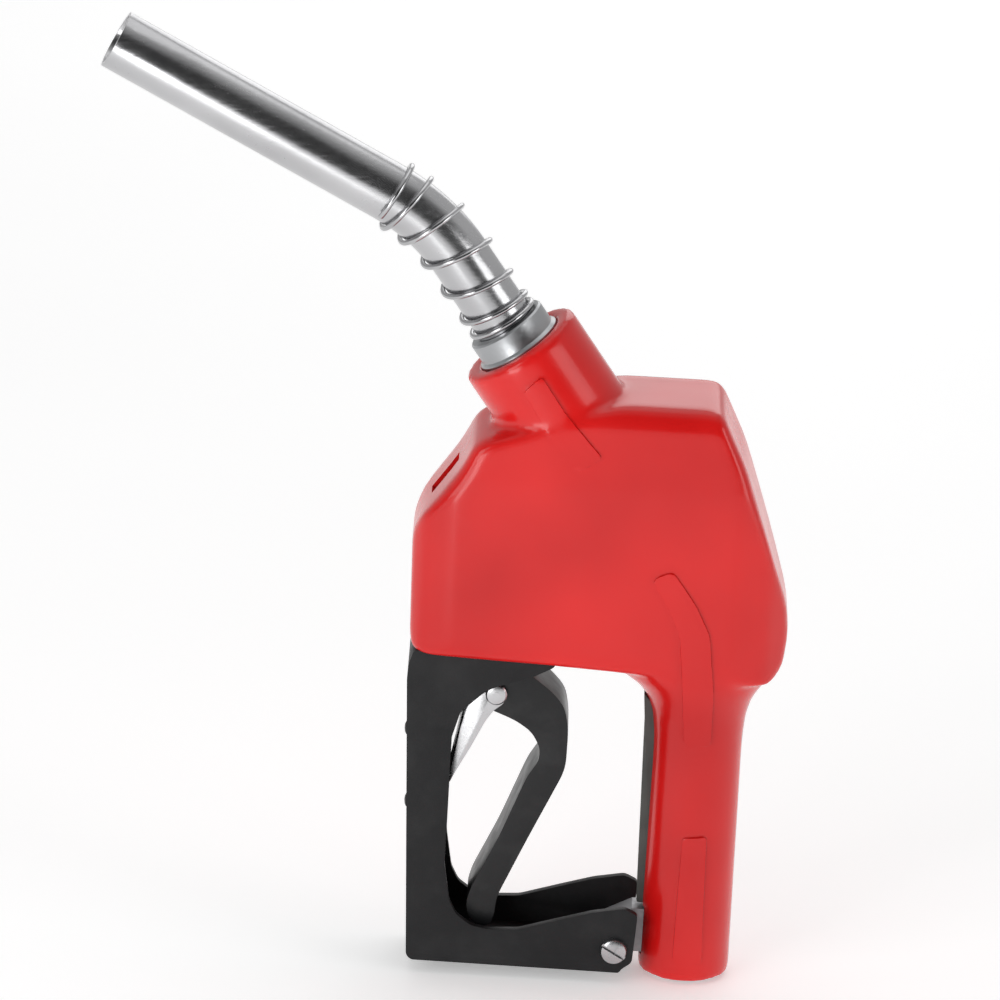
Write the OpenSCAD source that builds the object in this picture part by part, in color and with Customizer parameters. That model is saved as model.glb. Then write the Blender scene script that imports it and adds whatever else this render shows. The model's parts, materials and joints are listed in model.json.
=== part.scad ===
// Automatic shut-off fuel nozzle with a hand cover, a guarded lever and an anchor spring on its spout.
// Origin at the centre of the hose inlet's mouth, +Z up the handle, spout towards -X, width along Y.

/* [Handle and body] */
// Radius of the hand cover at the hose end
grip_r = 18.2; // [17.6:0.1:19]
// Wall of the hand cover
cover_wall = 3; // [2.6:0.1:3.4]
// Outer depth of the body across Y
body_depth = 52; // [50:1:54]
// Radius of the hand cover around the neck
neck_r = 24.25; // [24:0.05:24.8]

/* [Hose inlet] */
// Thread radius of the hose inlet
inlet_r = 12.3; // [12:0.1:12.5]
// Depth of the hose inlet's thread
inlet_depth = 20; // [16:1:24]

/* [Spout] */
// Outer radius of the spout tube
spout_r = 11.9; // [11.8:0.05:11.9]
// Wall of the spout tube
spout_wall = 1.5; // [1.2:0.1:1.5]
// Angle of the neck from the vertical
neck_lean = 36; // [35:0.5:37]
// Bend in the spout
bend_angle = 27; // [20:1:32]
// Radius of the bend's centre line
bend_r = 84; // [70:1:100]
// Straight length past the bend
nose_len = 122.7; // [100:0.1:130]
// Radius of the anchor spring's centre line
anchor_r = 13.6; // [13.5:0.1:14]
// Wire thickness of the anchor spring
anchor_wire = 2.2; // [1.8:0.1:2.2]

/* [Valve] */
// Angle of the main valve from the vertical
valve_lean = 20; // [19:0.5:21]
// Radius of the main poppet's chamber
chamber_r = 15.5; // [15:0.1:15.7]
// Radius of the main seat's opening
seat_r = 10.5; // [10:0.1:11]

/* [Lever and guard] */
// Width of the lever
lever_w = 24; // [22:0.5:25]
// Outer width of the guard
guard_w = 40; // [38:0.5:41]
// Wall of the guard
guard_wall = 3; // [2.5:0.1:3.2]
// Length of the hold-open clip below its rivet
clip_len = 42; // [38:1:43]
// Angle at which the clip hangs
clip_lean = 22; // [20:1:24]

/* [Hidden] */
$fn = 64;
gap = 0.05;       // between a piece and the pocket that holds it
tip_in = 1;       // how far a cut runs past a face

casting_inset = cover_wall + gap;
valve_boss_r = 8;
shoulder_depth = 20;
handle_casting_r = grip_r - cover_wall;
half_depth = body_depth / 2;

// Points in the mid plane that the mechanisms are laid out from
neck_rim = [-80.7, 0, 260.3];
valve_base = [-67.5, 0, 122];
lever_axis = [-100, 0, 122];
plunger_lean = 3;
clip_axis = [-81.6, 0, 117.3];
guard_screw_at = [-28.6, 0, 13];
guard_pin_at = [-110, 0, 131];

// Heights along the neck's axis, from the cover's rim outwards
collar_top = 10;
casting_neck_top = -casting_inset;
socket_floor = -39;
collar_foot = -24;
spout_start = -16;
bend_start = 41.9;
bend_len = bend_r * bend_angle * PI / 180;

// Heights along the valve's axis
seat_top = 63.5;
cap_seat = 104;

// Heights along the plunger's axis
guide_top = 34;
diaphragm_seat = 60;

body_side = [[-115, 138], [27, 129], [31.5, 136], [32.5, 150], [31, 162], [21, 192], [11.5, 220],
             [0, 243], [-40, 243], [-95, 226], [-100.5, 213], [-108, 202], [-115, 192], [-118, 184]];
shoulder_side = [[-17.2, 100], [17.2, 100], [17.6, 118], [27, 129.2], [20, 145], [-40, 145],
                 [-40, 132.9], [-25, 125.5], [-19, 117]];
lever_side = [[-100, 115.7], [-84.4, 110.5], [-73, 106], [-66.4, 101.4], [-63, 95], [-63, 89.7],
              [-67.5, 82.4], [-77.6, 55.3], [-87.3, 33.7], [-89, 27], [-88, 21], [-84, 17], [-79, 17.5],
              [-77.5, 22], [-76.8, 30], [-65.8, 55.9], [-52.2, 86.5], [-52, 103.4], [-54, 113],
              [-59.3, 119], [-68, 125.6], [-76, 128], [-100, 128.3]];
guard_side = [[-112, 6], [-110, 4], [-26, 3.3], [-25, 5], [-21, 8], [-19.8, 28.5], [-25.3, 31.1],
              [-37.7, 28.8], [-50.6, 24.9], [-67.4, 19.6], [-79.3, 18.9], [-86.5, 20.2], [-92.7, 24.7],
              [-95.8, 30.6], [-98.5, 46], [-98.5, 100], [-95.4, 111.5], [-86.3, 120.3], [-82, 122.8],
              [-68, 127.6], [-58.8, 132.6], [-58.8, 136.5], [-115.3, 136.5], [-117, 131], [-117.5, 124.5]];

// The web's inner face at a height
web_lean = atan(6.1 / 130.5);

function web_x(z) = -112 - tan(web_lean) * (z - 6) + guard_wall;

guard_hollow = [[web_x(6 + guard_wall), 6 + guard_wall], [-15, 3.8 + guard_wall], [-15, 140],
                [web_x(140), 140]];

// ---- Shapes and places that repeat ----

function unit(v) = v / norm(v);

// An anticlockwise outline with every side moved inwards by d
function inset(pts, d) = [
    for (i = [0 : len(pts) - 1])
        let (n = len(pts),
             before = unit(pts[i] - pts[(i + n - 1) % n]),
             after = unit(pts[(i + 1) % n] - pts[i]),
             a = [-before.y, before.x],
             b = [-after.y, after.x])
            pts[i] + d * (a + b) / (1 + a * b)
];

module on_neck(h) translate(neck_rim) rotate([0, -neck_lean, 0]) translate([0, 0, h]) children();
module on_valve(h) translate(valve_base) rotate([0, valve_lean, 0]) translate([0, 0, h]) children();
module on_plunger(h) translate(lever_axis) rotate([0, plunger_lean, 0]) translate([0, 0, h]) children();
module on_clip() translate(clip_axis) rotate([0, clip_lean, 0]) children();

// A plate whose outline lies in the XZ plane, centred on Y
module side_plate(pts, width) rotate([90, 0, 0]) linear_extrude(width, center = true) polygon(pts);

// A round bar along Y, centred on the mid plane
module cross_bar(r, width) rotate([90, 0, 0]) cylinder(r = r, h = width, center = true);

module ring(outer, inner, h) {
    difference() {
        cylinder(r = outer, h = h);
        translate([0, 0, -tip_in]) cylinder(r = inner, h = h + 2 * tip_in);
    }
}

module o_ring(mid, thick) rotate_extrude() translate([mid, 0]) circle(r = thick / 2);

// Joins rings of points, listed in order along a wire, into one closed solid
module wire(rings) {
    n = len(rings);
    m = len(rings[0]);
    last = (n - 1) * m;
    polyhedron(
        points = [for (r = rings) each r],
        faces = concat(
            [[for (j = [0 : m - 1]) j]],
            [for (i = [0 : n - 2], j = [0 : m - 1]) [i * m + j, (i + 1) * m + j, (i + 1) * m + (j + 1) % m]],
            [for (i = [0 : n - 2], j = [0 : m - 1]) [i * m + j, (i + 1) * m + (j + 1) % m, i * m + (j + 1) % m]],
            [[for (j = [m - 1 : -1 : 0]) last + j]]));
}

// A coil spring that stands on the XY plane, with closed ends
module coil(mid, thick, height, turns, sides = 6, steps = 16) {
    rise = height - thick;
    pitch = rise / (turns - 1);
    wire([for (i = [0 : turns * steps])
        let (turn = i / steps,
             a = 360 * turn,
             z = thick / 2 + pitch * max(0, min(turns - 1, turn - 0.5)),
             out = [cos(a), sin(a), 0])
            [for (j = [0 : sides - 1])
                out * (mid + thick / 2 * cos(360 * j / sides)) + [0, 0, z + thick / 2 * sin(360 * j / sides)]]]);
}

// ---- The covered body ----

module body_shape(d) {
    top_view = [[-118, -15], [-113, -22], [-102, -half_depth], [12, -half_depth], [25, -21], [32.5, -11],
                [32.5, 11], [25, 21], [12, half_depth], [-102, half_depth], [-113, 22], [-118, 15]];
    end_view = [[-17, 128], [17, 128], [half_depth - 2, 133], [half_depth, 141], [half_depth, 205],
                [half_depth - 2, 238], [20, 243], [-20, 243], [2 - half_depth, 238], [-half_depth, 205],
                [-half_depth, 141], [2 - half_depth, 133]];
    intersection() {
        side_plate(inset(body_side, d), body_depth + 10);
        linear_extrude(300) polygon(inset(top_view, d));
        rotate([90, 0, 90]) linear_extrude(400, center = true) polygon(inset(end_view, d));
    }
}

module handle_outside() {
    translate([0, 0, 0.8]) cylinder(r1 = grip_r, r2 = grip_r - 1, h = 149.2);
    side_plate(shoulder_side, shoulder_depth);
}

module body_casting() color("dimgray") {
    difference() {
        union() {
            body_shape(casting_inset);
            cylinder(r = handle_casting_r, h = 150);
            side_plate(inset(shoulder_side, casting_inset), shoulder_depth - 2 * casting_inset);
            on_neck(-52) cylinder(r = neck_r - casting_inset, h = 52 + casting_neck_top);
            on_valve(15) cylinder(r = valve_boss_r, h = 12);
            on_plunger(17.5) cylinder(r = 9.5, h = 10);
            side_plate([[-112.2, 126.5], [-107.5, 126.5], [-107.5, 145], [-112.2, 145]], 33);
            side_plate([[-35.5, 7.5], [-5, 7.5], [-5, 26], [-22, 26], [-35.5, 19]], 12);
        }
        // Hose inlet and the way up to the poppet's chamber
        translate([0, 0, -tip_in]) cylinder(r = inlet_r, h = inlet_depth + tip_in);
        cylinder(r = 10.5, h = 148);
        translate([0, 0, 143]) rotate([0, -34, 0]) cylinder(r = 9.5, h = 64);
        // Main valve, from the packing up to the cap
        on_valve(12) cylinder(r = 5.5, h = 14);
        on_valve(25) cylinder(r = 2.8, h = 10);
        on_valve(32) cylinder(r = 13.5, h = 26);
        on_valve(57) cylinder(r = seat_r, h = 8);
        on_valve(62) ring(chamber_r, 12.3, 1.5);
        on_valve(seat_top) cylinder(r = chamber_r, h = cap_seat - seat_top);
        on_valve(cap_seat) cylinder(r = chamber_r + 1, h = 50);
        // From under the seat up to the neck
        translate([-69, 0, 149]) rotate([0, -2.4, 0]) cylinder(r = 7.5, h = 84);
        on_neck(socket_floor) cylinder(r = 13, h = 40);
        on_neck(collar_foot) cylinder(r = 14.5, h = 40);
        // Plunger, its latch and the diaphragm
        on_plunger(15) cylinder(r = 5.2, h = 10);
        on_plunger(19) cylinder(r = 7.5, h = 16);
        on_plunger(guide_top) cylinder(r = 8.6, h = 24);
        on_plunger(56) cylinder(r = 9.8, h = 5);
        on_plunger(diaphragm_seat) cylinder(r = 14.6, h = 22);
        cap_screw_places() on_plunger(54) cylinder(r = 1.2, h = 8);
        // Guard fixings
        translate(guard_screw_at) cross_bar(3.05, 20);
        translate(guard_pin_at) cross_bar(1.85, 40);
        // Lightening pockets beside the web at the back
        for (side = [-1, 1])
            translate([0, side * 17, 0])
                side_plate([[10, 152], [25, 146], [25, 160], [15, 190], [6, 212], [-3, 212], [-3, 185]], 26);
    }
}

module hand_cover() color("red") {
    difference() {
        union() {
            body_shape(0);
            handle_outside();
            on_neck(-52) cylinder(r = neck_r, h = 52);
        }
        body_shape(cover_wall);
        translate([0, 0, -tip_in]) cylinder(r = handle_casting_r + gap, h = 152);
        side_plate(inset(shoulder_side, cover_wall), shoulder_depth - 2 * cover_wall);
        on_neck(-53) cylinder(r = neck_r - cover_wall, h = 50);
        on_neck(-10) cylinder(r = 18, h = 12);
        // Underside, open for the guard, the lever and the plunger
        translate([-112.4, -guard_w / 2 - 0.5, 125]) cube([54.4, guard_w + 1, 18]);
        // Slots for the guard's lug and the strip along the handle
        translate([-30, -6.3, 6.5]) cube([20, 12.6, 20.5]);
        translate([-30, -4.2, 27]) cube([20, 8.4, 91]);
        on_valve(8) cylinder(r = valve_boss_r + gap, h = 16);
        // Window over the diaphragm cap
        translate([-106.5, 0, 204.6]) rotate([0, 32, 0]) cube([14, 9, 18], center = true);
        on_plunger(diaphragm_seat - 1) cylinder(r = 14.8, h = 18);
    }
}

module handle_strip() color("darkslategray") {
    difference() {
        side_plate([[-20.2, 28], [-14.5, 28], [-14.5, 112], [-20, 114], [-23, 117.5], [-21.6, 105]], 8);
        translate([0, 0, 20]) cylinder(r = handle_casting_r + gap, h = 110);
        side_plate(inset(shoulder_side, cover_wall), shoulder_depth - 2 * cover_wall);
    }
}

// ---- Spout and what it carries ----

// A round bar along the spout, moved towards the inside of the bend. The bend's ends run a little
// way into the straights, and it is a hair slimmer, so that the surfaces cross cleanly.
module along_spout(r, side, back, front) {
    run_in = 0.5;
    translate([-side, 0, back]) cylinder(r = r, h = bend_start - back);
    translate([-bend_r, 0, bend_start]) {
        rotate([90, 0, 0]) rotate([0, 0, -run_in]) rotate_extrude(angle = bend_angle + 2 * run_in)
            translate([bend_r - side, 0]) circle(r = r - 0.03);
        rotate([0, -bend_angle, 0]) translate([bend_r - side, 0, 0]) cylinder(r = r, h = front);
    }
}

module on_nose(h) {
    translate([-bend_r, 0, bend_start]) rotate([0, -bend_angle, 0]) translate([bend_r, 0, h]) children();
}

vent_side = 7.8;
vent_r = 2.2;
vent_at = nose_len - 12;

module spout_tube() color("silver") on_neck(0) {
    difference() {
        along_spout(spout_r, 0, spout_start, nose_len);
        along_spout(spout_r - spout_wall, 0, spout_start - tip_in, nose_len + tip_in);
        on_nose(vent_at) rotate([0, -90, 0]) cylinder(r = 1.3, h = 14);
    }
}

module vent_tube() color("gainsboro") on_neck(0) {
    difference() {
        union() {
            along_spout(vent_r, vent_side, -4, vent_at);
            on_nose(vent_at - 1) translate([-vent_side, 0, 0]) cylinder(r = vent_r + 0.3, h = 3.4);
        }
        along_spout(1.3, vent_side, -5, vent_at);
        on_nose(vent_at) translate([-vent_side, 0, 0]) rotate([0, -90, 0]) cylinder(r = 1.25, h = 6);
    }
}

module spout_collar() color("silver") on_neck(0) {
    difference() {
        union() {
            translate([0, 0, casting_neck_top]) cylinder(r = 17.5, h = 4);
            translate([0, 0, 0]) cylinder(r = 16.1, h = collar_top);
            translate([0, 0, collar_foot]) cylinder(r = 14.5 - gap, h = 24);
        }
        translate([0, 0, spout_start]) cylinder(r = spout_r + 0.03, h = 40);
        translate([0, 0, collar_foot - tip_in]) cylinder(r = 10.4, h = 20);
        translate([0, 0, -13]) ring(13.9, 11, 2);
        translate([0, 11, 5.5]) rotate([-90, 0, 0]) cylinder(r = 1.65, h = 8);
    }
}

module spout_seal() color("black") on_neck(-12) o_ring(12.85, 1.8);

module spout_screw() color("gray") on_neck(5.5) {
    difference() {
        translate([0, spout_r + gap, 0]) rotate([-90, 0, 0]) cylinder(r = 1.6, h = 3.8);
        translate([0, 15, 0]) rotate([-90, 0, 0]) cylinder(r = 0.9, h = 3, $fn = 6);
    }
}

// Centre line of the spout at a distance from the cover's rim, and its turn there
function spout_turn(h) = min(bend_angle, max(0, (h - bend_start) / bend_r * 180 / PI));
function spout_mid(h) =
    let (t = spout_turn(h), past = max(0, h - bend_start - bend_len))
        h <= bend_start ? [0, 0, h]
        : [bend_r * (cos(t) - 1) - past * sin(t), 0, bend_start + bend_r * sin(t) + past * cos(t)];

module spout_spring() color("gainsboro") on_neck(0) {
    sides = 8;
    steps = 28;
    // Distance of each whole turn from the collar
    turns = [[0, 1.2], [1, 3.9], [2, 13], [3, 28], [4, 43.5], [5, 59], [6, 68], [6.6, 70.5]];
    wire([for (i = [0 : 6.6 * steps])
        let (turn = i / steps,
             a = 90 - 360 * turn,
             h = collar_top + lookup(turn, turns),
             lean = spout_turn(h),
             along = [-sin(lean), 0, cos(lean)],
             out = cos(a) * [cos(lean), 0, sin(lean)] + [0, sin(a), 0])
            [for (j = [0 : sides - 1])
                spout_mid(h) + out * (anchor_r + anchor_wire / 2 * cos(360 * j / sides))
                - along * anchor_wire / 2 * sin(360 * j / sides)]]);
}

module venturi_seat() color("goldenrod") on_neck(-38) {
    hub_r = 3.6;
    difference() {
        union() {
            ring(13 - gap, 8, 14);
            translate([0, 0, 1]) cylinder(r = hub_r, h = 6);
            for (a = [0, 120, 240]) rotate([0, 0, a]) translate([0, -1, 1]) cube([9, 2, 5]);
        }
        translate([0, 0, 12]) cylinder(r = 10.4, h = 3);
        translate([0, 0, -tip_in]) cylinder(r = 1.55, h = 12);
    }
}

module check_poppet() color("dimgray") on_neck(-38) {
    cylinder(r = 1.5, h = 13);
    translate([0, 0, 12.3]) cylinder(r = 9.6, h = 3);
}

module check_spring() color("gainsboro") on_neck(-22.6) coil(6, 0.9, 14.5, 6);

module check_retainer() color("goldenrod") on_neck(-8) {
    difference() {
        union() {
            ring(spout_r - spout_wall - gap, 9.2, 2);
            cylinder(r = 2.5, h = 2);
            for (a = [60, 180, 300]) rotate([0, 0, a]) translate([0, -0.8, 0.2]) cube([9.7, 1.6, 1.6]);
        }
        translate([0, 0, -tip_in]) cylinder(r = 1, h = 4);
    }
}

// ---- Main valve ----

module main_stem() color("silver") on_valve(0) {
    translate([0, 0, 5.75]) sphere(r = 2.45);
    translate([0, 0, 5.75]) cylinder(r = 2.5, h = 87.25);
}

module main_poppet() color("goldenrod") on_valve(66.8) {
    difference() {
        union() {
            cylinder(r = 13.8, h = 3.2);
            cylinder(r = 9, h = 7);
        }
        translate([0, 0, -tip_in]) cylinder(r = 2.5, h = 10);
    }
}

module poppet_seal() color("black") on_valve(seat_top + 0.3) ring(13.5, 2.5, 3);

module main_spring() color("gainsboro") on_valve(70.1) coil(11.5, 2, 28.8, 6, 8, 20);

module main_cap() color("goldenrod") on_valve(0) {
    difference() {
        union() {
            translate([0, 0, 88]) cylinder(r = 5.2, h = 14);
            translate([0, 0, 99]) cylinder(r = chamber_r - gap, h = 6);
            translate([0, 0, cap_seat + gap]) cylinder(r = chamber_r + 1 - gap, h = 8);
            translate([0, 0, 111]) cylinder(r = 8, h = 5, $fn = 6);
        }
        translate([0, 0, 80]) cylinder(r = 2.58, h = 27);
        translate([0, 0, 100.5]) ring(17, 13, 2.5);
    }
}

module main_cap_seal() color("black") on_valve(101.75) o_ring(14.2, 2.4);

module stem_packing() color("black") on_valve(21) ring(5.45, 2.58, 4.9);

module packing_nut() color("goldenrod") on_valve(12.6) {
    difference() {
        union() {
            cylinder(r = 6, h = 2.3, $fn = 6);
            cylinder(r = 5.45, h = 8.3);
        }
        translate([0, 0, -tip_in]) cylinder(r = 2.58, h = 12);
    }
}

// ---- Plunger and automatic latch ----

module plunger() color("silver") {
    difference() {
        union() {
            on_plunger(0) cylinder(r = 4.8, h = 45);
            translate(lever_axis) cross_bar(5.2, 9.4);
            on_plunger(44) cylinder(r = 8, h = 3);
            on_plunger(46) cylinder(r = 6.3, h = 10.5);
        }
        translate(lever_axis) cross_bar(2.5, 30);
        on_plunger(44.2) cylinder(r = 3.1, h = 14);
        for (a = [0, 120, 240]) on_plunger(51) rotate([0, 90, a]) cylinder(r = 1.85, h = 8);
    }
}

module plunger_guide() color("goldenrod") on_plunger(22.2) ring(7.5 - gap, 4.86, 11.7);

module plunger_seal() color("black") on_plunger(19.1) ring(7.4, 4.86, 3);

module plunger_spring() color("gainsboro") on_plunger(guide_top) coil(6.5, 1, 9.9, 4);

module latch_ring() color("gray") on_plunger(47.4) ring(8.6 - gap, 6.9, 1.5);

module latch_balls() color("silver")
    for (a = [0, 120, 240]) on_plunger(51) rotate([0, 0, a]) translate([4.9, 0, 0]) sphere(r = 1.75);

module latch_pin() color("silver") {
    on_plunger(44.5) cylinder(r = 1.4, h = 5);
    on_plunger(48.6) cylinder(r = 3.04, h = 14.4);
}

module cap_screw_places()
    for (a = [45 : 90 : 315])
        on_plunger(0) rotate([0, 0, a]) translate([12.2, 0, 0])
            rotate([0, -plunger_lean, 0]) translate(-lever_axis) children();

module diaphragm() color("black") {
    difference() {
        on_plunger(diaphragm_seat) ring(14.4, 8.3, 0.8);
        cap_screw_places() on_plunger(diaphragm_seat - 2) cylinder(r = 1.2, h = 5);
    }
}

module diaphragm_plate() color("silver") on_plunger(59.4) ring(8, 3.04, 2.2);

module diaphragm_spring() color("gainsboro") on_plunger(61.7) coil(5.6, 0.9, 7.2, 4);

module diaphragm_cap() color("dimgray") {
    difference() {
        union() {
            on_plunger(60.85) cylinder(r = 14.5, h = 9.2);
            on_plunger(70) cylinder(r1 = 14.5, r2 = 11, h = 6);
        }
        on_plunger(60) cylinder(r = 9.8, h = 9);
        cap_screw_places() on_plunger(60) cylinder(r = 1.2, h = 10);
        cap_screw_places() on_plunger(68.5) cylinder(r = 2, h = 10);
    }
}

module cap_screws() color("gainsboro") cap_screw_places() {
    on_plunger(54.2) cylinder(r = 1.2, h = 15);
    on_plunger(68.5) cylinder(r = 1.9, h = 1.5);
}

// ---- Lever and hold-open clip ----

module lever() color("#202020") {
    difference() {
        union() {
            side_plate(lever_side, lever_w);
            translate(lever_axis) cross_bar(6.5, lever_w);
        }
        translate(lever_axis) cross_bar(2.56, 40);
        side_plate([[-110, 110], [-91, 110], [-91, 132], [-110, 132]], 10.6);
        translate(clip_axis) cross_bar(1.55, 40);
    }
}

module lever_pin() color("silver") translate(lever_axis) cross_bar(2.5, lever_w - 0.4);

module hold_clip() color("gainsboro") on_clip() {
    half = lever_w / 2 + 1.5;
    inside = 2 * half - 2.4;
    leaf = [[2, -6.5], [0.9, -12], [0.2, -25], [-0.7, -35.5], [-1, -clip_len], [-1.9, -41], [-4, -31.2],
            [-6.9, -19], [-8.3, -10], [-6, -1.5], [-2.5, 3.8], [1.5, 4.3], [4.2, 1.5], [4.2, -2.5]];
    difference() {
        side_plate(leaf, 2 * half);
        side_plate([[-6.8, -12], [-5.6, -19], [-2.7, -31.2], [-1.2, -39], [10, -39], [10, -12]], inside);
        side_plate([[-12, -14], [10, -14], [10, 10], [-12, 10]], inside);
        cross_bar(1.6, 60);
    }
}

module clip_pin() color("gainsboro") translate(clip_axis) {
    cross_bar(1.55, lever_w + 6.4);
    translate([0, -lever_w / 2 - 2.35, 0]) cross_bar(4.3, 1.4);
    translate([0, lever_w / 2 + 3.8, 0]) cross_bar(4.3, 1.2);
}

module clip_spring() color("gainsboro")
    translate(clip_axis + [0, lever_w / 2 + 3.1, 0]) rotate([90, 0, 0]) coil(2.5, 0.5, 1.5, 2.9);

// ---- Guard ----

module lever_guard() color("#181818") {
    difference() {
        side_plate(guard_side, guard_w);
        side_plate(guard_hollow, guard_w - 2 * guard_wall);
        translate(guard_screw_at) cross_bar(3, 60);
        translate(guard_pin_at) cross_bar(1.8, guard_w - 3);
        rack_rivet_places() cylinder(r = 1.5, h = 30, center = true);
    }
}

rack_low = 58;
rack_high = 103;

module rack_rivet_places()
    for (z = [65, 96]) translate([web_x(z) - guard_wall, 0, z]) rotate([0, 90 - web_lean, 0]) children();

module hold_rack() color("gray") {
    teeth = 3;
    step = 8;
    difference() {
        union() {
            side_plate([[web_x(rack_low) + gap, rack_low], [web_x(rack_low) + 2, rack_low],
                        [web_x(rack_high) + 2, rack_high], [web_x(rack_high) + gap, rack_high]], 14);
            for (i = [0 : teeth - 1]) {
                z = 72 + step * i;
                side_plate([[web_x(z) + 1, z - 3], [web_x(z) + 3.6, z + 2], [web_x(z) + 1, z + 3]], 14);
            }
        }
        rack_rivet_places() cylinder(r = 1.5, h = 30, center = true);
    }
}

module rack_rivets() color("black") rack_rivet_places() {
    translate([0, 0, -1.2]) cylinder(r1 = 2, r2 = 2.8, h = 1.2);
    cylinder(r = 1.5, h = 5.6);
    translate([0, 0, 5.1]) cylinder(r = 2.4, h = 0.9);
}

module guard_screw() color("silver") translate(guard_screw_at) {
    difference() {
        union() {
            cross_bar(2.9, guard_w + 5);
            translate([0, -guard_w / 2 - 1.4, 0]) cross_bar(5.35, 2.8);
        }
        rotate([0, 30, 0]) translate([0, -guard_w / 2 - 2.8, 0]) cube([20, 2.2, 1.3], center = true);
    }
}

module guard_nut() color("silver") translate(guard_screw_at + [0, guard_w / 2 + gap, 0]) {
    difference() {
        rotate([-90, 0, 0]) cylinder(r = 5.2, h = 2.4, $fn = 6);
        cross_bar(2.9, 20);
    }
}

module guard_pin() color("silver") translate(guard_pin_at) cross_bar(1.8, guard_w - 3.2);

body_casting();
hand_cover();
handle_strip();
spout_tube();
spout_collar();
spout_spring();
spout_seal();
spout_screw();
vent_tube();
venturi_seat();
check_poppet();
check_spring();
check_retainer();
main_stem();
main_poppet();
poppet_seal();
main_spring();
main_cap();
main_cap_seal();
stem_packing();
packing_nut();
plunger();
plunger_guide();
plunger_seal();
plunger_spring();
latch_balls();
latch_ring();
latch_pin();
diaphragm();
diaphragm_plate();
diaphragm_spring();
diaphragm_cap();
cap_screws();
lever();
lever_pin();
hold_clip();
clip_pin();
clip_spring();
lever_guard();
hold_rack();
rack_rivets();
guard_screw();
guard_nut();
guard_pin();
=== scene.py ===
import json
import math
import bpy
from mathutils import Euler, Matrix, Quaternion, Vector


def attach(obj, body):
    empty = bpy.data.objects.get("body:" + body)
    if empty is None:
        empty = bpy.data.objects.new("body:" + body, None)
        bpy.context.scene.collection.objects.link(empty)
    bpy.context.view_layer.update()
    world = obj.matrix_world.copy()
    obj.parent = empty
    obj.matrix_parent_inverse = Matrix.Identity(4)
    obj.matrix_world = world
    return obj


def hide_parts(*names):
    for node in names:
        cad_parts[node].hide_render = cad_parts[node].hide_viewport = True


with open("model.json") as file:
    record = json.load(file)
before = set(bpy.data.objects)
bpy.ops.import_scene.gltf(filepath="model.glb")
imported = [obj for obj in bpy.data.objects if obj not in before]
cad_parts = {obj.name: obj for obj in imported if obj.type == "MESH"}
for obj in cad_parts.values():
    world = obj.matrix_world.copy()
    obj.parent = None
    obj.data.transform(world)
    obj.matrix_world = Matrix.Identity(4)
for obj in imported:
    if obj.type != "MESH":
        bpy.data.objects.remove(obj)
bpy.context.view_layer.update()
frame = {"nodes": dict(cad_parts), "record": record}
nodes = frame["nodes"]
mm = 0.001
print("frame loaded:", len(nodes), "nodes")


# Shader maths

class Sock:
    # wraps one output so that sums and products read as expressions
    def __init__(self, mat, out):
        self.mat = mat
        self.out = out

    def maths(self, operation, *others):
        return self.mat.node("Math", {"operation": operation}, [self, *others])

    def __add__(self, other):
        return self.maths("ADD", other)

    def __mul__(self, other):
        return self.maths("MULTIPLY", other)

    __radd__ = __add__
    __rmul__ = __mul__


class Finish:
    def __init__(self, name, **values):
        self.material = bpy.data.materials.new(name)
        self.material.use_nodes = True
        self.tree = self.material.node_tree
        self.shader = self.tree.nodes["Principled BSDF"]
        for socket, value in values.items():
            self.shader.inputs[socket.replace("_", " ")].default_value = value
        self.place = self.node("TexCoord", {}, {}, "Object")

    def put(self, socket, value):
        if isinstance(value, Sock):
            self.tree.links.new(value.out, socket)
        else:
            socket.default_value = value

    def node(self, kind, settings, inputs, output=0):
        made = self.tree.nodes.new("ShaderNode" + kind)
        for key, value in settings.items():
            if key == "stops":
                ramp = made.color_ramp
                while len(ramp.elements) < len(value):
                    ramp.elements.new(0.5)
                for element, (at, colour) in zip(ramp.elements, value):
                    element.position = at
                    element.color = colour
            else:
                setattr(made, key, value)
        pairs = inputs.items() if isinstance(inputs, dict) else enumerate(inputs)
        for key, value in pairs:
            self.put(made.inputs[key], value)
        return Sock(self, made.outputs[output])

    def noise(self, scale, detail=3, stretch=(1, 1, 1)):
        placed = self.node("Mapping", {}, {"Vector": self.place, "Scale": stretch})
        return self.node("TexNoise", {}, {"Vector": placed, "Scale": scale, "Detail": detail}, "Fac")

    def between(self, factor, low, high):
        return self.node("MapRange", {}, {"Value": factor, "From Min": 0.3, "From Max": 0.7,
                                          "To Min": low, "To Max": high}, "Result")

    def colour(self, factor, first, second):
        return self.node("Mix", {"data_type": "RGBA"}, {0: factor, 6: first, 7: second}, 2)

    def drive(self, socket, value):
        self.put(self.shader.inputs[socket], value)

    def bump(self, height, strength, distance):
        self.drive("Normal", self.node("Bump", {}, {"Height": height, "Strength": strength,
                                                    "Distance": distance}))


def coverVinylFinish():
    # dipped vinyl: deep red, glossy, gently wavy, with a faint orange peel and duller patches; the
    # deep-to-bright colour blotches are painted reflection patches
    look = {"deep": (0.58, 0.004, 0.004, 1), "bright": (0.80, 0.014, 0.013, 1)}
    f = Finish("coverVinyl", Roughness=0.24, IOR=1.47, Coat_Weight=0.15, Coat_Roughness=0.06,
               Specular_IOR_Level=0.42)
    reflectionBlotches = f.noise(13, 2)
    f.drive("Base Color", f.colour(f.between(reflectionBlotches, 0, 1), look["deep"], look["bright"]))
    f.drive("Roughness", f.between(f.noise(38, 4), 0.19, 0.27))
    waves = f.noise(17, 1) * 0.85 + f.noise(45, 2) * 0.06 + f.noise(420, 2) * 0.015
    f.bump(waves, 1.0, 0.0007)
    return f.material


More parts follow.
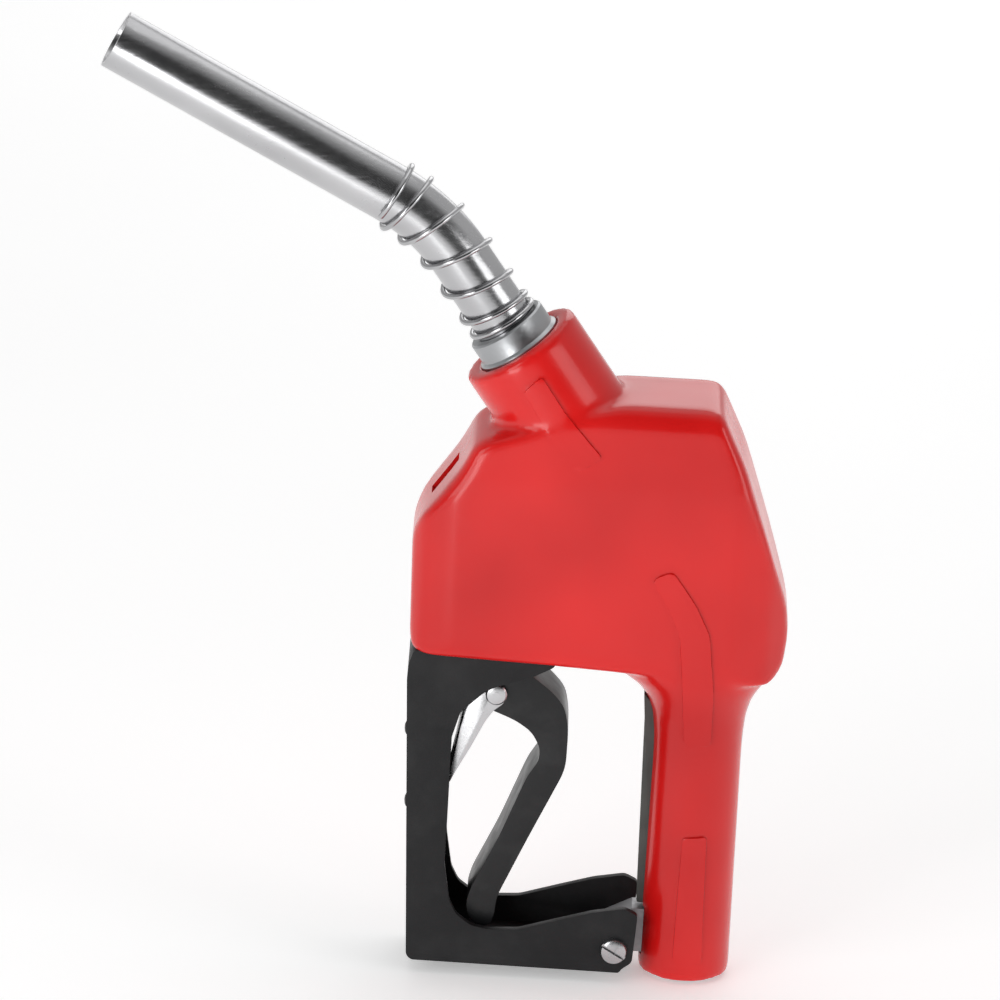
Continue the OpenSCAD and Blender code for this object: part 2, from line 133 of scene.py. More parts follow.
def guardFinish():
    # black moulded nylon with a fine grain and paler scuffs
    look = {"black": (0.012, 0.012, 0.013, 1), "scuff": (0.020, 0.020, 0.021, 1)}
    f = Finish("guardNylon", Roughness=0.5, IOR=1.45, Specular_IOR_Level=0.32)
    scuffs = f.between(f.noise(55, 6), -0.7, 1.0)
    f.drive("Base Color", f.colour(f.node("Clamp", {}, [scuffs]), look["black"], look["scuff"]))
    f.drive("Roughness", f.between(f.noise(90, 4), 0.42, 0.58))
    f.bump(f.noise(1500, 3), 0.35, 0.00025)
    return f.material


def leverFinish():
    look = {"black": (0.010, 0.010, 0.011, 1), "worn": (0.022, 0.022, 0.023, 1)}
    f = Finish("leverPaint", Roughness=0.36, IOR=1.45, Specular_IOR_Level=0.4, Coat_Weight=0.06,
               Coat_Roughness=0.25)
    worn = f.between(f.noise(70, 6), -0.8, 0.9)
    f.drive("Base Color", f.colour(f.node("Clamp", {}, [worn]), look["black"], look["worn"]))
    f.drive("Roughness", f.between(f.noise(120, 4), 0.30, 0.45))
    f.bump(f.noise(900, 3), 0.2, 0.0002)
    return f.material


def metalFinish(name, pale, dark, low, high, grain=(1, 1, 1), scale=300, strength=0.1):
    # bare metal: fine drawn marks along one direction, with a slow change in tone
    f = Finish(name, Metallic=1.0, Roughness=(low + high) / 2)
    tone = f.between(f.noise(22, 3), 0, 1)
    f.drive("Base Color", f.colour(tone, (*dark, 1), (*pale, 1)))
    marks = f.noise(scale, 3, grain)
    f.drive("Roughness", f.between(marks * 0.7 + f.noise(45, 3) * 0.3, low, high))
    f.bump(marks, strength, 0.0002)
    return f.material


def plainFinish(name, colour, second, low, high, scale=500, strength=0.2):
    f = Finish(name, Roughness=(low + high) / 2, IOR=1.5)
    f.drive("Base Color", f.colour(f.between(f.noise(60, 4), 0, 1), (*colour, 1), (*second, 1)))
    f.drive("Roughness", f.between(f.noise(110, 3), low, high))
    f.bump(f.noise(scale, 3), strength, 0.0002)
    return f.material


finishes = {
    "cover_vinyl": coverVinylFinish(),
    "guard_plastic": guardFinish(),
    "lever_finish": leverFinish(),
    "casting_metal": metalFinish("castAluminium", (0.42, 0.42, 0.43), (0.30, 0.30, 0.31), 0.42, 0.6,
                                 scale=700, strength=0.35),
    # the handle strip's dark grey is painted shade on the aluminium front rib of the casting
    "strip_rubber": plainFinish("stripPaintedShade", (0.050, 0.056, 0.052), (0.085, 0.092, 0.085), 0.5, 0.7),
    "spout_metal": metalFinish("spoutAluminium", (0.57, 0.57, 0.58), (0.46, 0.46, 0.47), 0.18, 0.29,
                               grain=(0.05, 1, 1), scale=900, strength=0.12),
    "collar_metal": metalFinish("collarAluminium", (0.44, 0.45, 0.46), (0.36, 0.37, 0.38), 0.28, 0.40,
                                scale=600, strength=0.2),
    "spring_steel": metalFinish("springSteel", (0.56, 0.56, 0.57), (0.40, 0.40, 0.41), 0.12, 0.22),
    "zinc_plate": metalFinish("zincPlate", (0.60, 0.60, 0.61), (0.44, 0.44, 0.45), 0.18, 0.32),
    "brass_fitting": metalFinish("brassFitting", (0.80, 0.58, 0.26), (0.66, 0.46, 0.20), 0.22, 0.36),
    "seal_rubber": plainFinish("sealRubber", (0.012, 0.012, 0.012), (0.03, 0.03, 0.03), 0.5, 0.7),
    "rack_steel": metalFinish("rackSteel", (0.50, 0.50, 0.51), (0.36, 0.36, 0.37), 0.3, 0.45),
}
slotOf = {p["node"]: p["material_slot"] for p in frame["record"]["subparts"]}
for name, cadPiece in nodes.items():
    cadPiece.data.materials.clear()
    cadPiece.data.materials.append(finishes[slotOf[name]])
print("finishes made:", len(finishes))


# Modelling helpers

def clearSelection():
    if bpy.context.mode != "OBJECT":
        bpy.ops.object.mode_set(mode="OBJECT")
    bpy.ops.object.select_all(action="DESELECT")


def only(piece):
    clearSelection()
    piece.select_set(True)
    bpy.context.view_layer.objects.active = piece


def useModifier(piece, kind, **settings):
    only(piece)
    modifier = piece.modifiers.new("step", kind)
    for key, value in settings.items():
        setattr(modifier, key, value)
    bpy.ops.object.modifier_apply(modifier=modifier.name)


def cut(piece, tool, operation="DIFFERENCE", solver="MANIFOLD"):
    useModifier(piece, "BOOLEAN", operation=operation, solver=solver, object=tool)
    bpy.data.objects.remove(tool)


def place(piece, at=(0, 0, 0), turn=0.0):
    # turns a piece about Y, moves it, and bakes both into its mesh
    only(piece)
    matrix = Matrix.Translation(Vector(at)) @ Matrix.Rotation(turn, 4, "Y")
    piece.data.transform(matrix)
    return piece


def recalculate(piece):
    only(piece)
    bpy.ops.object.mode_set(mode="EDIT")
    bpy.ops.mesh.select_all(action="SELECT")
    bpy.ops.mesh.remove_doubles(threshold=0.000005)
    bpy.ops.mesh.normals_make_consistent(inside=False)
    bpy.ops.object.mode_set(mode="OBJECT")


def cylinder(radius, depth, sides=64, at=(0, 0, 0), turn=(0, 0, 0), topRadius=None):
    clearSelection()
    bpy.ops.mesh.primitive_cone_add(vertices=sides, radius1=radius,
                                    radius2=radius if topRadius is None else topRadius, depth=depth)
    piece = bpy.context.active_object
    piece.data.transform(Matrix.Translation(Vector(at)) @ Euler(turn).to_matrix().to_4x4())
    return piece


def block(low, high):
    clearSelection()
    bpy.ops.mesh.primitive_cube_add(size=1)
    piece = bpy.context.active_object
    low, high = Vector(low), Vector(high)
    size = high - low
    piece.data.transform(Matrix.Translation((low + high) / 2) @ Matrix.Diagonal((*size, 1)))
    return piece


def rounded(outline, radius, steps):
    # the outline with each corner eased into the same number of points
    points = [Vector(p) for p in outline]
    eased = []
    for before, corner, after in zip(points[-1:] + points[:-1], points, points[1:] + points[:1]):
        back, ahead = before - corner, after - corner
        reach = min(radius, 0.45 * back.length, 0.45 * ahead.length)
        start, end = corner + back.normalized() * reach, corner + ahead.normalized() * reach
        for i in range(steps + 1):
            t = i / steps
            eased.append(start * (1 - t) ** 2 + corner * 2 * t * (1 - t) + end * t ** 2)
    return eased


def insetOutline(outline, distance):
    # each side moved inwards; the outline runs anticlockwise
    points = [Vector(p) for p in outline]
    moved = []
    for before, corner, after in zip(points[-1:] + points[:-1], points, points[1:] + points[:1]):
        a, b = (corner - before).normalized(), (after - corner).normalized()
        inward = Vector((-a.y - b.y, a.x + b.x))
        moved.append(corner + inward * (distance / (1 + a.dot(b))))
    return moved


def loft(rings):
    # a closed solid through rings of points in metres, made by extruding one face from ring to ring
    clearSelection()
    bpy.ops.mesh.primitive_circle_add(vertices=len(rings[0]), fill_type="NGON")
    piece = bpy.context.active_object
    for vertex, point in zip(piece.data.vertices, rings[0]):
        vertex.co = point
    for before, ring in zip(rings, rings[1:]):
        bpy.ops.object.mode_set(mode="EDIT")
        if before is rings[0]:
            bpy.ops.mesh.select_all(action="SELECT")
        bpy.ops.mesh.extrude_region_move(TRANSFORM_OT_translate={"value": (0, 0, 0)})
        bpy.ops.object.mode_set(mode="OBJECT")
        fresh = [v for v in piece.data.vertices if v.select]
        spots = {tuple(round(c, 6) for c in point): i for i, point in enumerate(before)}
        for vertex in fresh:
            vertex.co = ring[spots[tuple(round(c, 6) for c in vertex.co)]]
    recalculate(piece)
    return piece


def plate(outline, halfWidth, rounding=0.0, roundSteps=3):
    # a plate along Y from an outline of (x, z) points in millimetres, its corners rounded
    points = rounded(outline, rounding, roundSteps) if rounding else [Vector(p) for p in outline]
    return loft([[Vector((p.x, side * halfWidth, p.y)) * mm for p in points] for side in (-1, 1)])


def joined(pieces):
    clearSelection()
    for piece in pieces:
        piece.select_set(True)
    bpy.context.view_layer.objects.active = pieces[0]
    bpy.ops.object.join()
    return pieces[0]


def wireAlong(points, radius, sides=12):
    # a round bar that follows the points, closed at both ends
    clearSelection()
    bpy.ops.curve.primitive_bezier_curve_add()
    curve = bpy.context.active_object
    curve.data.splines.clear()
    spline = curve.data.splines.new("POLY")
    spline.points.add(len(points) - 1)
    for knot, point in zip(spline.points, points):
        knot.co = (*point, 1)
    curve.data.bevel_depth = radius
    curve.data.bevel_resolution = max(0, sides // 4 - 1)
    curve.data.use_fill_caps = True
    curve.data.twist_mode = "MINIMUM"
    only(curve)
    bpy.ops.object.convert(target="MESH")
    piece = bpy.context.active_object
    recalculate(piece)
    return piece


def finishPiece(piece, name, slot, body, *replaced, angle=35):
    piece.name = name
    piece.data.name = name
    piece.data.materials.clear()
    piece.data.materials.append(finishes[slot])
    only(piece)
    bpy.ops.object.shade_smooth_by_angle(angle=math.radians(angle))
    if replaced:
        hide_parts(*replaced)
    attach(piece, body)
    print("made", name, len(piece.data.polygons))
    return piece


# The neck's frame, which the spout, collar and spring share

neck = {"rim": Vector((-80.7, 0, 260.3)) * mm, "lean": math.radians(36), "collarTop": 10,
        "bendStart": 41.9, "bendRadius": 84.0, "bendAngle": 27.0, "noseLength": 122.7}
neckMatrix = Matrix.Translation(neck["rim"]) @ Matrix.Rotation(-neck["lean"], 4, "Y")


def spoutFrame(h):
    # the spout's centre and its turn at a distance from the cover's rim, in the neck's frame
    start, radius = neck["bendStart"], neck["bendRadius"]
    turn = min(math.radians(neck["bendAngle"]), max(0.0, (h - start) / radius))
    past = max(0.0, h - start - radius * math.radians(neck["bendAngle"]))
    if h <= start:
        return Vector((0, 0, h)), 0.0
    x = radius * (math.cos(turn) - 1) - past * math.sin(turn)
    return Vector((x, 0, start + radius * math.sin(turn) + past * math.cos(turn))), turn


bendEnd = neck["bendStart"] + neck["bendRadius"] * math.radians(neck["bendAngle"])
spoutEnd = bendEnd + neck["noseLength"]


# Hand cover: moulded vinyl over the casting

cover = {
    "outline": [(-117.3, 135.4), (-60, 133.6), (27, 129), (31.8, 136), (33, 150), (31.5, 162), (21.6, 192),
                (12, 220), (0.5, 243.6), (-40, 243.6), (-95, 226), (-101, 213), (-108.5, 202),
                (-115.6, 192), (-118.6, 184)],
    "crown": [(26.4, 5), (25.8, 2.8), (24.4, 1.1), (22, 0.2), (18, 0)], "neckRadius": 24.7,
    "fromAbove": [(-119, -14), (-113.4, -22), (-102, -26.6), (10, -26.6), (24, -21.5), (33.2, -11.5),
                  (33.2, 11.5), (24, 21.5), (10, 26.6), (-102, 26.6), (-113.4, 22), (-119, 14)],
    "fromEnd": [(-18, 126), (18, 126), (25, 132), (26.6, 141), (26.6, 205), (25, 238), (20.5, 245),
                (-20.5, 245), (-25, 238), (-26.6, 205), (-26.6, 141), (-25, 132)],
    "gripRadius": 18.5, "gripTopRadius": 17.6,
    # the shoulder's left and right edges and half depth at each height
    "shoulder": [(86, -17.8, 17.8, 17.8), (102, -18.2, 18.1, 18.1), (111, -19.2, 18.8, 19.3),
                 (118, -21.8, 20.6, 21.4), (123.5, -26.5, 23.8, 23.4), (128.5, -34, 28, 25.2),
                 (133, -43, 31, 26.2), (150, -46, 31, 26.5)],
    "voxel": 1.25, "smoothing": 16, "wall": 2.85, "bandRise": 1.1,
}


def bodyBlock():
    # rings from side to side, drawn in towards the two faces so that the flanks are crowned
    rings = []
    crown = cover["crown"]
    for y, inset in [(-y, inset) for y, inset in crown] + crown[::-1]:
        points = rounded(insetOutline(cover["outline"], inset), 5.5, 5)
        rings.append([Vector((p.x, y, p.y)) * mm for p in points])
    solid = loft(rings)
    fromAbove = plate(cover["fromAbove"], 300, 3, 3)
    fromAbove.data.transform(Matrix.Rotation(math.radians(-90), 4, "X"))
    fromEnd = plate(cover["fromEnd"], 300, 3, 3)
    fromEnd.data.transform(Matrix.Rotation(math.radians(90), 4, "Z"))
    cut(solid, fromAbove, "INTERSECT")
    cut(solid, fromEnd, "INTERSECT")
    return solid


def coverSolid():
    grip = cylinder(cover["gripRadius"] * mm, 150 * mm, 72, at=(0, 0, 74.8 * mm),
                    topRadius=cover["gripTopRadius"] * mm)
    neckTube = cylinder(cover["neckRadius"] * mm, 56 * mm, 72, at=(0, 0, -27.6 * mm))
    neckTube.data.transform(neckMatrix)
    rings = []
    for z, left, right, depth in cover["shoulder"]:
        angles = [math.tau * i / 72 for i in range(72)]
        middle = (left + right) / 2
        reach = (right - left) / 2
        rings.append([Vector((middle + reach * math.cos(a), depth * math.sin(a), z)) * mm for a in angles])
    shoulder = loft(rings)
    solid = joined([bodyBlock(), grip, neckTube, shoulder])
    useModifier(solid, "REMESH", mode="VOXEL", voxel_size=cover["voxel"] * mm)
    mouth = cylinder(17.3 * mm, 26 * mm, 64, at=(0, 0, -2 * mm))
    mouth.data.transform(neckMatrix)
    cut(solid, mouth)
    cut(solid, cylinder(15.4 * mm, 20 * mm, 64))
    useModifier(solid, "REMESH", mode="VOXEL", voxel_size=cover["voxel"] * mm)
    useModifier(solid, "SMOOTH", factor=0.5, iterations=cover["smoothing"])
    return solid


def padShapes():
    # the raised plain pads on the neck, down the flank and on the grip
    neckPad = [(-77.9, 248.4), (-67.9, 232.7), (-54.1, 217.3), (-45.2, 223.3), (-60.3, 239.7), (-71, 255.1)]
    flankPad = [(-23, 174.2), (-14.7, 160.8), (-10.2, 150), (-8.2, 130), (-6, 102), (5.2, 102), (4.6, 126),
                (1.5, 152), (-4.8, 164.5), (-14.7, 178.1)]
    gripPad = [(-3.9, 62.4), (-4.8, 9), (7.1, 8), (5.8, 63.3)]
    return joined([plate(neckPad, 40, 2, 3), plate(flankPad, 40, 3, 3), plate(gripPad, 40, 1.5, 3)])


def coverPiece():
    outer = coverSolid()
    only(outer)
    bpy.ops.object.duplicate()
    inner = bpy.context.active_object
    useModifier(inner, "DISPLACE", strength=-cover["wall"] * mm, mid_level=0)
    useModifier(inner, "REMESH", mode="VOXEL", voxel_size=0.0026)
    only(outer)
    bpy.ops.object.duplicate()
    band = bpy.context.active_object
    useModifier(band, "DISPLACE", strength=cover["bandRise"] * mm, mid_level=0)
    useModifier(band, "REMESH", mode="VOXEL", voxel_size=cover["voxel"] * mm)
    useModifier(band, "SMOOTH", factor=0.5, iterations=3)
    cut(band, padShapes(), "INTERSECT")
    cut(outer, band, "UNION")
    useModifier(outer, "SMOOTH", factor=0.5, iterations=2)
    cut(outer, inner)
    throat = cylinder(17.3 * mm, 60 * mm, 64, at=(0, 0, -20 * mm))
    throat.data.transform(neckMatrix)
    cut(outer, throat)
    cut(outer, cylinder(15.4 * mm, 40 * mm, 64, at=(0, 0, 10 * mm)))
    cut(outer, block((-0.1124, -0.0207, 0.122), (-0.0575, 0.0207, 0.143)))
    cut(outer, block((-0.1300, -0.0204, 0.122), (-0.1120, 0.0204, 0.1367)))
    packingHole = cylinder(8.3 * mm, 30 * mm, 48, at=(0, 0, 0.01))
    place(packingHole, (-0.0675, 0, 0.122), math.radians(20))
    cut(outer, packingHole)
    cut(outer, block((-0.030, -0.0064, 0.0064), (-0.010, 0.0064, 0.027)))
    cut(outer, block((-0.030, -0.0042, 0.026), (-0.010, 0.0042, 0.1185)))
    window = block((-0.007, -0.0045, -0.009), (0.007, 0.0045, 0.009))
    place(window, (-0.1065, 0, 0.2046), math.radians(32))
    cut(outer, window)
    recalculate(outer)
    return finishPiece(outer, "handCoverVinyl", "cover_vinyl", "body", "hand_cover", angle=50)


# Strip along the lever side of the handle: the casting's front rib, its dark grey painted shade

def stripPiece():
    outline = [(-20.4, 28), (-14.8, 28), (-14.8, 112), (-19.2, 113.5), (-22.6, 118), (-21.7, 106)]
    strip = plate(outline, 4, 1.2, 3)
    cut(strip, cylinder(15.25 * mm, 120 * mm, 64, at=(0, 0, 75 * mm)))
    useModifier(strip, "BEVEL", width=0.9 * mm, segments=3, limit_method="ANGLE", angle_limit=0.6)
    return finishPiece(strip, "handleStripPaintedShade", "strip_rubber", "body", "handle_strip")


# Spout, collar and anchor spring

spout = {"radius": 11.9, "wall": 1.5, "start": -16, "rings": 14, "sides": 72}


def tubeRing(h, radius):
    centre, turn = spoutFrame(h)
    ring = []
    for i in range(spout["sides"]):
        angle = math.tau * i / spout["sides"]
        out = Vector((math.cos(angle) * math.cos(turn), math.sin(angle), math.cos(angle) * math.sin(turn)))
        ring.append((centre + out * radius) * mm)
    return ring


def spoutPiece():
    radius, start, rings = spout["radius"], neck["bendStart"], spout["rings"]
    stops = [start + (bendEnd - start) * i / rings for i in range(rings + 1)]
    stops += [bendEnd + neck["noseLength"] * f for f in (0.25, 0.5, 0.75)]
    piece = loft([tubeRing(h, radius) for h in [spout["start"]] + stops + [spoutEnd - 0.02]])
    bore = radius - spout["wall"]
    cut(piece, loft([tubeRing(h, bore) for h in [spout["start"] - 5] + stops + [spoutEnd + 5]]))
    useModifier(piece, "BEVEL", width=0.45 * mm, segments=3, limit_method="ANGLE", angle_limit=0.9)
    port = cylinder(1.3 * mm, 12 * mm, 24, turn=(0, math.radians(90), 0), at=(-0.0119, 0, 0))
    centre, turn = spoutFrame(spoutEnd - 12)
    port.data.transform(Matrix.Translation(centre * mm) @ Matrix.Rotation(-turn, 4, "Y"))
    cut(piece, port)
    piece.data.transform(neckMatrix)
    return finishPiece(piece, "spoutTubePolished", "spout_metal", "body", "spout_tube")


def turnedPiece(profile, sides=96):
    # a closed profile of (radius, height) points in millimetres, spun about Z
    clearSelection()
    bpy.ops.mesh.primitive_circle_add(vertices=len(profile))
    piece = bpy.context.active_object
    for vertex, (radius, height) in zip(piece.data.vertices, profile):
        vertex.co = (radius * mm, 0, height * mm)
    bpy.ops.object.mode_set(mode="EDIT")
    bpy.ops.mesh.select_all(action="SELECT")
    bpy.ops.mesh.spin(steps=sides, angle=math.tau, center=(0, 0, 0), axis=(0, 0, 1))
    bpy.ops.object.mode_set(mode="OBJECT")
    recalculate(piece)
    return piece


def collarPiece():
    profile = [(11.93, -15.9), (11.93, 9.4), (12.5, 10), (15.4, 10), (16.1, 9.3), (16.1, 2.2), (16.3, 1.6),
               (17.2, 0.9), (17.5, 0.4), (17.5, -3), (14.45, -3), (14.45, -23.9), (10.45, -23.9),
               (10.45, -15.9)]
    piece = turnedPiece(profile)
    piece.data.transform(neckMatrix)
    return finishPiece(piece, "spoutCollarTurned", "collar_metal", "body", "spout_collar", angle=25)


anchor = {"radius": 13.45, "wire": 1.1, "steps": 44, "startAngle": 90.0,
          "turns": [(0, 1.2), (1, 3.9), (2, 13), (3, 28), (4, 43.5), (5, 59), (6, 68), (6.6, 70.5)]}


def eased(table, at):
    # height along the spout at a number of turns, with the pitch changing smoothly
    for (t0, h0), (t1, h1) in zip(table, table[1:]):
        if at <= t1:
            return h0 + (h1 - h0) * (at - t0) / (t1 - t0)
    return table[-1][1]


def anchorSpringPiece():
    points = []
    count = int(anchor["turns"][-1][0] * anchor["steps"])
    for i in range(count + 1):
        at = i / anchor["steps"]
        near = [eased(anchor["turns"], min(max(at + shift, 0), anchor["turns"][-1][0]))
                for shift in (-0.2, -0.1, 0, 0.1, 0.2)]
        centre, turn = spoutFrame(neck["collarTop"] + sum(near) / len(near))
        angle = math.radians(anchor["startAngle"]) - math.tau * at
        out = Vector((math.cos(angle) * math.cos(turn), math.sin(angle), math.cos(angle) * math.sin(turn)))
        points.append((centre + out * anchor["radius"]) * mm)
    piece = wireAlong(points, anchor["wire"] * mm, 16)
    piece.data.transform(neckMatrix)
    return finishPiece(piece, "anchorSpringWire", "spring_steel", "body", "spout_spring", angle=60)


# Lever guard

guard = {
    "side": [(-112, 6), (-110, 4), (-26, 3.3), (-25, 5), (-21, 8), (-19.8, 28.5), (-25.3, 31.1),
             (-37.7, 28.8), (-50.6, 24.9), (-67.4, 19.6), (-79.3, 18.9), (-86.5, 20.2), (-92.7, 24.7),
             (-95.8, 30.6), (-98.5, 46), (-98.5, 100), (-95.4, 111.5), (-86.3, 120.3), (-82, 122.8),
             (-68, 127.6), (-58.8, 132.6), (-58.8, 136.4), (-115.3, 136.4), (-117, 131), (-117.5, 124.5)],
    "hollow": [(-109, 9), (-15, 6.8), (-15, 145), (-115.1, 145)], "halfWidth": 20.0, "wall": 3.0,
}


def guardPiece():
    piece = plate(guard["side"], guard["halfWidth"], 1.6, 3)
    cut(piece, plate(guard["hollow"], guard["halfWidth"] - guard["wall"], 2, 3))
    screwHole = cylinder(3 * mm, 60 * mm, 32, at=(-0.0286, 0, 0.013), turn=(math.radians(90), 0, 0))
    cut(piece, screwHole)
    useModifier(piece, "BEVEL", width=0.8 * mm, segments=3, limit_method="ANGLE", angle_limit=0.7)
    return finishPiece(piece, "leverGuardMoulded", "guard_plastic", "body", "lever_guard", angle=40)


# Lever

lever = {
    "side": [(-106, 122), (-104, 117), (-99, 115.4), (-84.4, 110.5), (-73, 106), (-66.4, 101.4), (-63, 95),
             (-63, 89.7), (-67.5, 82.4), (-77.6, 55.3), (-87.3, 33.7), (-89, 27), (-88, 21), (-84, 17),
             (-79, 17.5), (-77.5, 22), (-76.8, 30), (-65.8, 55.9), (-52.2, 86.5), (-52, 103.4),
             (-54, 113), (-59.3, 119), (-68, 125.6), (-76, 128), (-100, 128.5), (-104.5, 126.5)],
    "halfWidth": 12.0,
}


def leverPiece():
    piece = plate(lever["side"], lever["halfWidth"], 5, 4)
    cut(piece, block((-0.111, -0.0053, 0.109), (-0.091, 0.0053, 0.133)))
    pinHole = cylinder(2.56 * mm, 60 * mm, 32, at=(-0.1, 0, 0.122), turn=(math.radians(90), 0, 0))
    cut(piece, pinHole)
    useModifier(piece, "BEVEL", width=1.6 * mm, segments=4, limit_method="ANGLE", angle_limit=0.9)
    return finishPiece(piece, "leverForged", "lever_finish", "lever", "lever", angle=40)


# Hold-open clip and its rivet

clip = {
    "at": Vector((-81.6, 0, 117.3)) * mm, "lean": math.radians(22), "half": 13.5, "sheet": 1.2,
    "leaf": [(2, -6.5), (0.9, -12), (0.2, -25), (-0.7, -35.5), (-1, -42), (-1.9, -41), (-4, -31.2),
             (-6.9, -19), (-8.3, -10), (-6, -1.5), (-2.5, 3.8), (1.5, 4.3), (4.2, 1.5), (4.2, -2.5)],
}


def clipPiece():
    half = clip["half"]
    inside = half - clip["sheet"]
    piece = plate(clip["leaf"], half, 1.2, 3)
    cut(piece, plate([(-6.8, -12), (-5.6, -19), (-2.7, -31.2), (-1.2, -39), (10, -39), (10, -12)], inside))
    cut(piece, plate([(-12, -14), (10, -14), (10, 10), (-12, 10)], inside))
    cut(piece, cylinder(1.6 * mm, 60 * mm, 32, turn=(math.radians(90), 0, 0)))
    useModifier(piece, "BEVEL", width=0.35 * mm, segments=2, limit_method="ANGLE", angle_limit=0.9)
    place(piece, clip["at"], clip["lean"])
    return finishPiece(piece, "holdClipPressed", "zinc_plate", "hold_clip", "hold_clip")


def domedHead(radius, height, base, direction):
    # a low dome whose flat side is at y = base, facing along direction
    profile = [(0.01, 0), (radius, 0), (radius, height * 0.35), (radius * 0.86, height * 0.75),
               (radius * 0.5, height), (0.01, height)]
    head = turnedPiece(profile, 48)
    head.data.transform(Matrix.Translation((0, base * mm, 0))
                        @ Matrix.Rotation(math.radians(-90 * direction), 4, "X"))
    return head


def clipPinPiece():
    shank = cylinder(1.55 * mm, 30.6 * mm, 32, turn=(math.radians(90), 0, 0), at=(0, 0, 0))
    shank = joined([shank, domedHead(4.3, 1.5, -13.65, -1), domedHead(4.3, 1.2, 15.2, 1)])
    shank.data.transform(Matrix.Translation(clip["at"]))
    recalculate(shank)
    return finishPiece(shank, "clipRivet", "zinc_plate", "lever", "clip_pin", angle=30)


# Guard screw with a slotted pan head

def guardScrewPiece():
    head = turnedPiece([(0.01, 0), (5.35, 0), (5.35, 1.5), (4.9, 2.3), (3.6, 2.8), (0.01, 2.8)], 64)
    head.data.transform(Matrix.Translation((0, -0.02, 0)) @ Matrix.Rotation(math.radians(90), 4, "X"))
    driverSlot = block((-0.01, -0.0245, -0.00065), (0.01, -0.0215, 0.00065))
    place(driverSlot, turn=math.radians(30))
    cut(head, driverSlot)
    shank = cylinder(2.9 * mm, 42.3 * mm, 32, turn=(math.radians(90), 0, 0), at=(0, 0.0012, 0))
    piece = joined([head, shank])
    useModifier(piece, "BEVEL", width=0.15 * mm, segments=2, limit_method="ANGLE", angle_limit=0.9)
    piece.data.transform(Matrix.Translation(Vector((-28.6, 0, 13)) * mm))
    return finishPiece(piece, "guardScrewSlotted", "zinc_plate", "body", "guard_screw", angle=30)


def rackRivetsPiece():
    heads = []
    webLean = math.atan(6.1 / 130.5)
    for height in (65, 96):
        webX = -112 - math.tan(webLean) * (height - 6)
        rivet = turnedPiece([(0.01, -5.6), (1.5, -5.6), (1.5, 0), (2.8, 0), (2.6, 0.7), (1.6, 1.2),
                             (0.01, 1.35)], 32)
        rivet.data.transform(Matrix.Translation(Vector((webX, 0, height)) * mm)
                             @ Matrix.Rotation(math.radians(-90) - webLean, 4, "Y"))
        heads.append(rivet)
    piece = joined(heads)
    return finishPiece(piece, "rackRivetHeads", "guard_plastic", "body", "rack_rivets", angle=30)


# Female thread inside the hose inlet

def inletThreadPiece():
    thread = {"outer": 12.28, "depth": 0.9, "pitch": 1.81, "turns": 9}
    clearSelection()
    bpy.ops.mesh.primitive_circle_add(vertices=4)
    piece = bpy.context.active_object
    profile = [(thread["outer"], 0), (thread["outer"] - thread["depth"], 0.75),
               (thread["outer"] - thread["depth"], 1.0), (thread["outer"], 1.7)]
    for vertex, (radius, height) in zip(piece.data.vertices, profile):
        vertex.co = (radius * mm, 0, (height + 0.8) * mm)
    useModifier(piece, "SCREW", angle=math.tau, screw_offset=thread["pitch"] * mm,
                iterations=thread["turns"], steps=64, render_steps=64)
    recalculate(piece)
    return finishPiece(piece, "inletThread", "casting_metal", "body")


coverPiece()
stripPiece()
spoutPiece()
collarPiece()
anchorSpringPiece()
guardPiece()
leverPiece()
clipPiece()
clipPinPiece()
guardScrewPiece()
rackRivetsPiece()
inletThreadPiece()
print("pieces made")


# Floor, light and camera

studio = {"floorSize": 9.0, "floorDrop": 0.0015, "floorGlow": 0.33, "distance": 3.2, "lens": 290,
          "target": Vector((-0.0846, 0, 0.1946)), "elevation": math.radians(19),
          "roll": math.radians(3.3), "roomDark": 0.05, "roomBright": 0.55}


def floorFinish():
    f = Finish("paleFloor", Roughness=0.9, Specular_IOR_Level=0.2, Emission_Strength=studio["floorGlow"],
               Emission_Color=(1, 1, 1, 1))
    tone = f.between(f.noise(2, 2), 0, 1)
    f.drive("Base Color", f.colour(tone, (0.93, 0.93, 0.93, 1), (0.96, 0.96, 0.96, 1)))
    return f.material


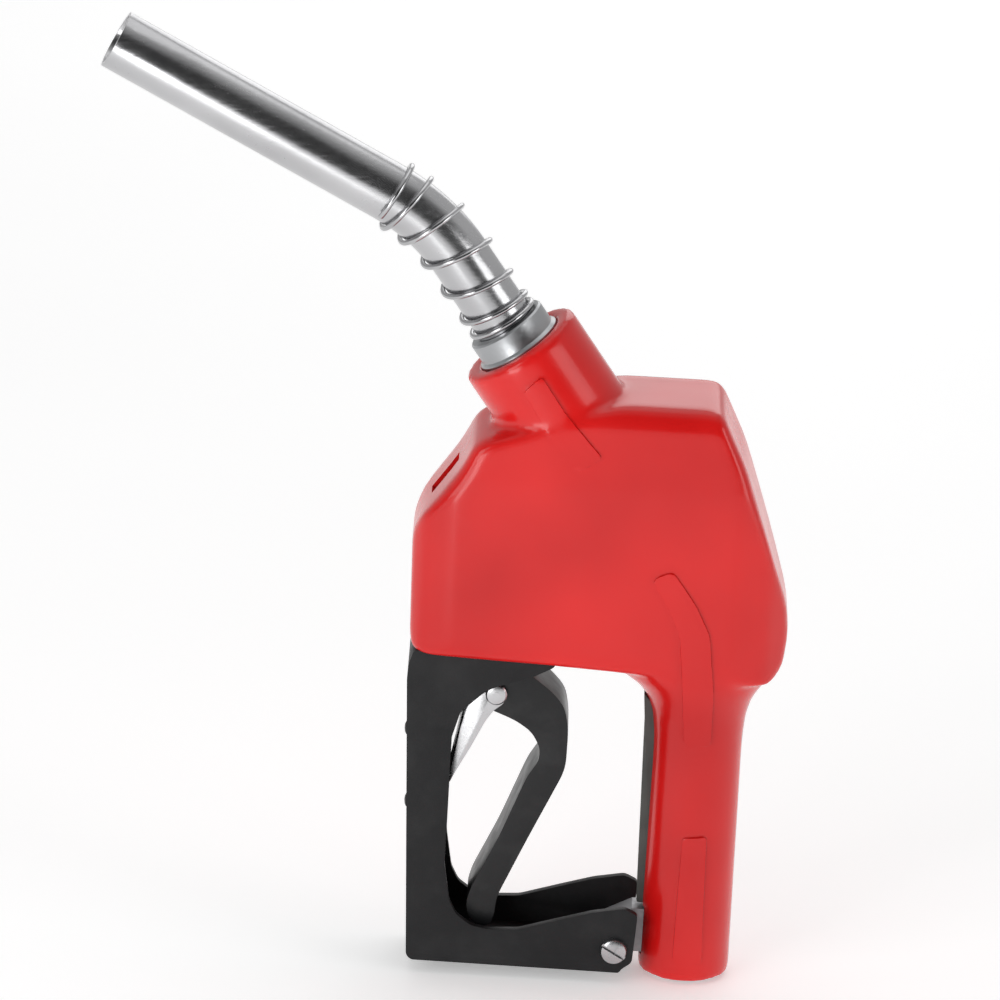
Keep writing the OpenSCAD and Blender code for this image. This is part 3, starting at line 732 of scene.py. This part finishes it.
def makeWorld():
    # a pale room that is darker towards the front, so that metal shows contrast
    world = bpy.data.worlds.new("studio")
    bpy.context.scene.world = world
    world.use_nodes = True
    tree = world.node_tree
    spot = tree.nodes.new("ShaderNodeTexCoord")
    split = tree.nodes.new("ShaderNodeSeparateXYZ")
    front = tree.nodes.new("ShaderNodeMapRange")
    up = tree.nodes.new("ShaderNodeMapRange")
    both = tree.nodes.new("ShaderNodeMath")
    tree.links.new(spot.outputs["Generated"], split.inputs[0])
    for node, socket, low, high in ((front, "Y", -0.55, 0.1), (up, "Z", 0.62, 0.95)):
        node.interpolation_type = "SMOOTHSTEP"
        tree.links.new(split.outputs[socket], node.inputs["Value"])
        node.inputs["From Min"].default_value = low
        node.inputs["From Max"].default_value = high
        node.inputs["To Min"].default_value = studio["roomDark"]
        node.inputs["To Max"].default_value = studio["roomBright"]
    both.operation = "MAXIMUM"
    tree.links.new(front.outputs["Result"], both.inputs[0])
    tree.links.new(up.outputs["Result"], both.inputs[1])
    back = tree.nodes["Background"]
    back.inputs["Color"].default_value = (1, 1, 1, 1)
    tree.links.new(both.outputs[0], back.inputs["Strength"])


def makeStudio():
    clearSelection()
    bpy.ops.mesh.primitive_plane_add(size=studio["floorSize"], location=(0, 0, -studio["floorDrop"]))
    floor = bpy.context.active_object
    floor.name = "floor"
    floor.data.materials.append(floorFinish())
    makeWorld()
    lamps = [("keyLight", (-1.3, -1.3, 0.7), 1.0, 9), ("sideLight", (1.5, -0.8, 0.5), 0.9, 6.5),
             ("lowLight", (-0.38, -0.75, 0.16), 0.28, 1.1), ("topLight", (0.1, 0.5, 1.9), 1.4, 4),
             ("backLight", (0.2, 1.8, 1.0), 1.2, 5)]
    for name, spot, size, power in lamps:
        bpy.ops.object.light_add(type="AREA", location=spot)
        lamp = bpy.context.active_object
        lamp.name = name
        lamp.data.size = size
        lamp.data.energy = power
        aim = (studio["target"] - Vector(spot)).to_track_quat("-Z", "Y")
        lamp.rotation_euler = aim.to_euler()
        lamp.visible_camera = False


def makeCamera():
    elevation = studio["elevation"]
    back = Vector((0, -math.cos(elevation), math.sin(elevation)))
    bpy.ops.object.camera_add(location=studio["target"] + back * studio["distance"])
    camera = bpy.context.active_object
    aim = (-back).to_track_quat("-Z", "Y") @ Quaternion((0, 0, 1), studio["roll"])
    camera.rotation_euler = aim.to_euler()
    camera.data.lens = studio["lens"]
    camera.data.sensor_width = 36
    bpy.context.scene.camera = camera


makeStudio()
makeCamera()
bpy.context.scene.view_settings.view_transform = "Standard"
